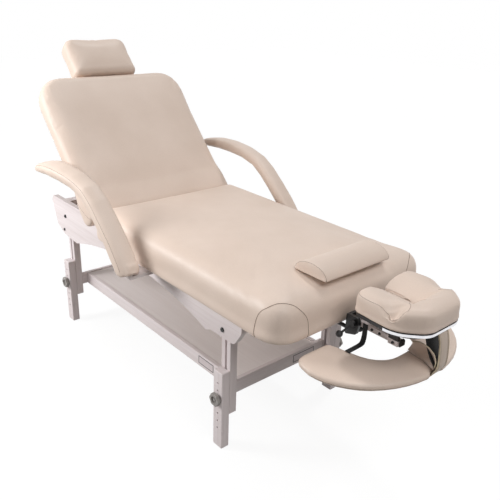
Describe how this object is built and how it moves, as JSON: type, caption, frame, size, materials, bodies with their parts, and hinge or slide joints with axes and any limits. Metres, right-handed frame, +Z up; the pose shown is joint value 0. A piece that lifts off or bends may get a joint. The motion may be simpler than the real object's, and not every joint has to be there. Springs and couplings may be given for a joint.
{
  "type": "massage table",
  "caption": "Padded massage table on a wooden base with height-adjustable legs, a shelf, a lifting back with headrest, curved arms, a tilting face cradle and an arm sling.",
  "frame": {"origin": "centre of the object's overall footprint, on the floor", "axes": "+X towards the face cradle along the table, +Y across it to the right-hand side seen from the back, +Z up"},
  "size_m": [2.171, 1.011, 1.3799],
  "materials": {
    "cream_vinyl": "smooth cream upholstery vinyl, softly satin",
    "whitewashed_wood": "whitewashed beech, satin lacquer",
    "plywood": "bare birch plywood",
    "steel": "plain steel",
    "bright_trim": "polished band",
    "black_plastic": "moulded black, slightly rough",
    "grey_knob": "grey moulded knob",
    "black_webbing": "woven strap"
  },
  "bodies": {
    "frame": {"cradle_socket": "whitewashed_wood", "frame_hinge_leaf_left": "steel", "frame_hinge_leaf_right": "steel", "front_beam": "whitewashed_wood", "leg_post_front_left": "whitewashed_wood", "leg_post_front_right": "whitewashed_wood", "leg_post_rear_left": "whitewashed_wood", "leg_post_rear_right": "whitewashed_wood", "prop_rack_left": "whitewashed_wood", "prop_rack_right": "whitewashed_wood", "seat_cushion": "cream_vinyl", "seat_deck": "plywood", "shelf_end_rail_front": "whitewashed_wood", "shelf_end_rail_rear": "whitewashed_wood", "shelf_panel": "whitewashed_wood", "shelf_rail_left": "whitewashed_wood", "shelf_rail_right": "whitewashed_wood", "side_rail_left": "whitewashed_wood", "side_rail_right": "whitewashed_wood", "tail_beam": "whitewashed_wood"},
    "leg_front_left": {"leg_extension_front_left": "whitewashed_wood"},
    "knob_front_left": {"clamp_knob_front_left": "grey_knob"},
    "leg_front_right": {"leg_extension_front_right": "whitewashed_wood"},
    "knob_front_right": {"clamp_knob_front_right": "grey_knob"},
    "leg_rear_left": {"leg_extension_rear_left": "whitewashed_wood"},
    "knob_rear_left": {"clamp_knob_rear_left": "grey_knob"},
    "leg_rear_right": {"leg_extension_rear_right": "whitewashed_wood"},
    "knob_rear_right": {"clamp_knob_rear_right": "grey_knob"},
    "back": {"back_cushion": "cream_vinyl", "back_deck": "plywood", "back_hinge_leaf_left": "steel", "back_hinge_leaf_right": "steel", "prop_bracket_left": "steel", "prop_bracket_right": "steel"},
    "prop": {"back_prop": "steel"},
    "headrest": {"headrest_cushion": "cream_vinyl", "headrest_rod_left": "steel", "headrest_rod_right": "steel"},
    "arm_left": {"arm_pad_left": "cream_vinyl", "arm_bracket_left": "steel"},
    "arm_right": {"arm_pad_right": "cream_vinyl", "arm_bracket_right": "steel"},
    "cradle_mount": {"cradle_clevis_left": "black_plastic", "cradle_clevis_right": "black_plastic"},
    "cam": {"cam_lever": "steel"},
    "cradle": {"bar_cap_left": "black_plastic", "bar_cap_right": "black_plastic", "cradle_bar_left": "whitewashed_wood", "cradle_bar_right": "whitewashed_wood", "cradle_platform": "black_plastic", "platform_rim": "bright_trim"},
    "face_pad": {"cradle_cushion": "cream_vinyl"},
    "sling": {"sling_front_loop": "cream_vinyl", "sling_pad": "cream_vinyl", "sling_strap_left": "black_webbing", "sling_strap_right": "black_webbing"},
    "bolster": {"bolster": "cream_vinyl"}
  },
  "joints": [
    {"name": "leg_slide_front_left", "type": "slide", "parent": "frame", "child": "leg_front_left", "axis": [0, 0, 1], "range_m": [-0.04, 0.12]},
    {"name": "knob_turn_front_left", "type": "hinge", "parent": "leg_front_left", "child": "knob_front_left", "pos_m": [0.40504, -0.3225, 0.2184], "axis": [0, 1, 0], "continuous": true},
    {"name": "leg_slide_front_right", "type": "slide", "parent": "frame", "child": "leg_front_right", "axis": [0, 0, 1], "range_m": [-0.04, 0.12]},
    {"name": "knob_turn_front_right", "type": "hinge", "parent": "leg_front_right", "child": "knob_front_right", "pos_m": [0.40504, 0.3225, 0.2184], "axis": [0, 1, 0], "continuous": true},
    {"name": "leg_slide_rear_left", "type": "slide", "parent": "frame", "child": "leg_rear_left", "axis": [0, 0, 1], "range_m": [-0.04, 0.12]},
    {"name": "knob_turn_rear_left", "type": "hinge", "parent": "leg_rear_left", "child": "knob_rear_left", "pos_m": [-0.84496, -0.3225, 0.2184], "axis": [0, 1, 0], "continuous": true},
    {"name": "leg_slide_rear_right", "type": "slide", "parent": "frame", "child": "leg_rear_right", "axis": [0, 0, 1], "range_m": [-0.04, 0.12]},
    {"name": "knob_turn_rear_right", "type": "hinge", "parent": "leg_rear_right", "child": "knob_rear_right", "pos_m": [-0.84496, 0.3225, 0.2184], "axis": [0, 1, 0], "continuous": true},
    {"name": "back_lift", "type": "hinge", "parent": "frame", "child": "back", "pos_m": [-0.45896, 0, 0.709], "axis": [0, 1, 0], "range_deg": [-48, 12]},
    {"name": "prop_swing", "type": "hinge", "parent": "back", "child": "prop", "pos_m": [-0.60838, 0, 0.77631], "axis": [0, 1, 0], "range_deg": [-24, 96]},
    {"name": "headrest_slide", "type": "slide", "parent": "back", "child": "headrest", "axis": [-0.6691, 0, 0.7431], "range_m": [0, 0.08]},
    {"name": "arm_pull_left", "type": "slide", "parent": "frame", "child": "arm_left", "axis": [0, -1, 0], "range_m": [0, 0.12]},
    {"name": "arm_pull_right", "type": "slide", "parent": "frame", "child": "arm_right", "axis": [0, 1, 0], "range_m": [0, 0.12]},
    {"name": "cradle_pull", "type": "slide", "parent": "frame", "child": "cradle_mount", "axis": [1, 0, 0], "range_m": [0, 0.15]},
    {"name": "cam_turn", "type": "hinge", "parent": "cradle_mount", "child": "cam", "pos_m": [0.80304, 0, 0.628], "axis": [0, -1, 0], "range_deg": [0, 90]},
    {"name": "cradle_tilt", "type": "hinge", "parent": "cradle_mount", "child": "cradle", "pos_m": [0.80304, 0, 0.628], "axis": [0, -1, 0], "range_deg": [-20, 35]},
    {"name": "face_pad_lift", "type": "slide", "parent": "cradle", "child": "face_pad", "axis": [0, 0, 1], "range_m": [0, 0.1]},
    {"name": "sling_drop", "type": "slide", "parent": "cradle", "child": "sling", "axis": [0, 0, 1], "range_m": [-0.06, 0]},
    {"name": "bolster_lift", "type": "slide", "parent": "frame", "child": "bolster", "axis": [0, 0, 1], "range_m": [0, 0.2]}
  ],
  "couplings": [
    {"joint": "prop_swing", "follows": "back_lift", "ratio": -2}
  ]
}
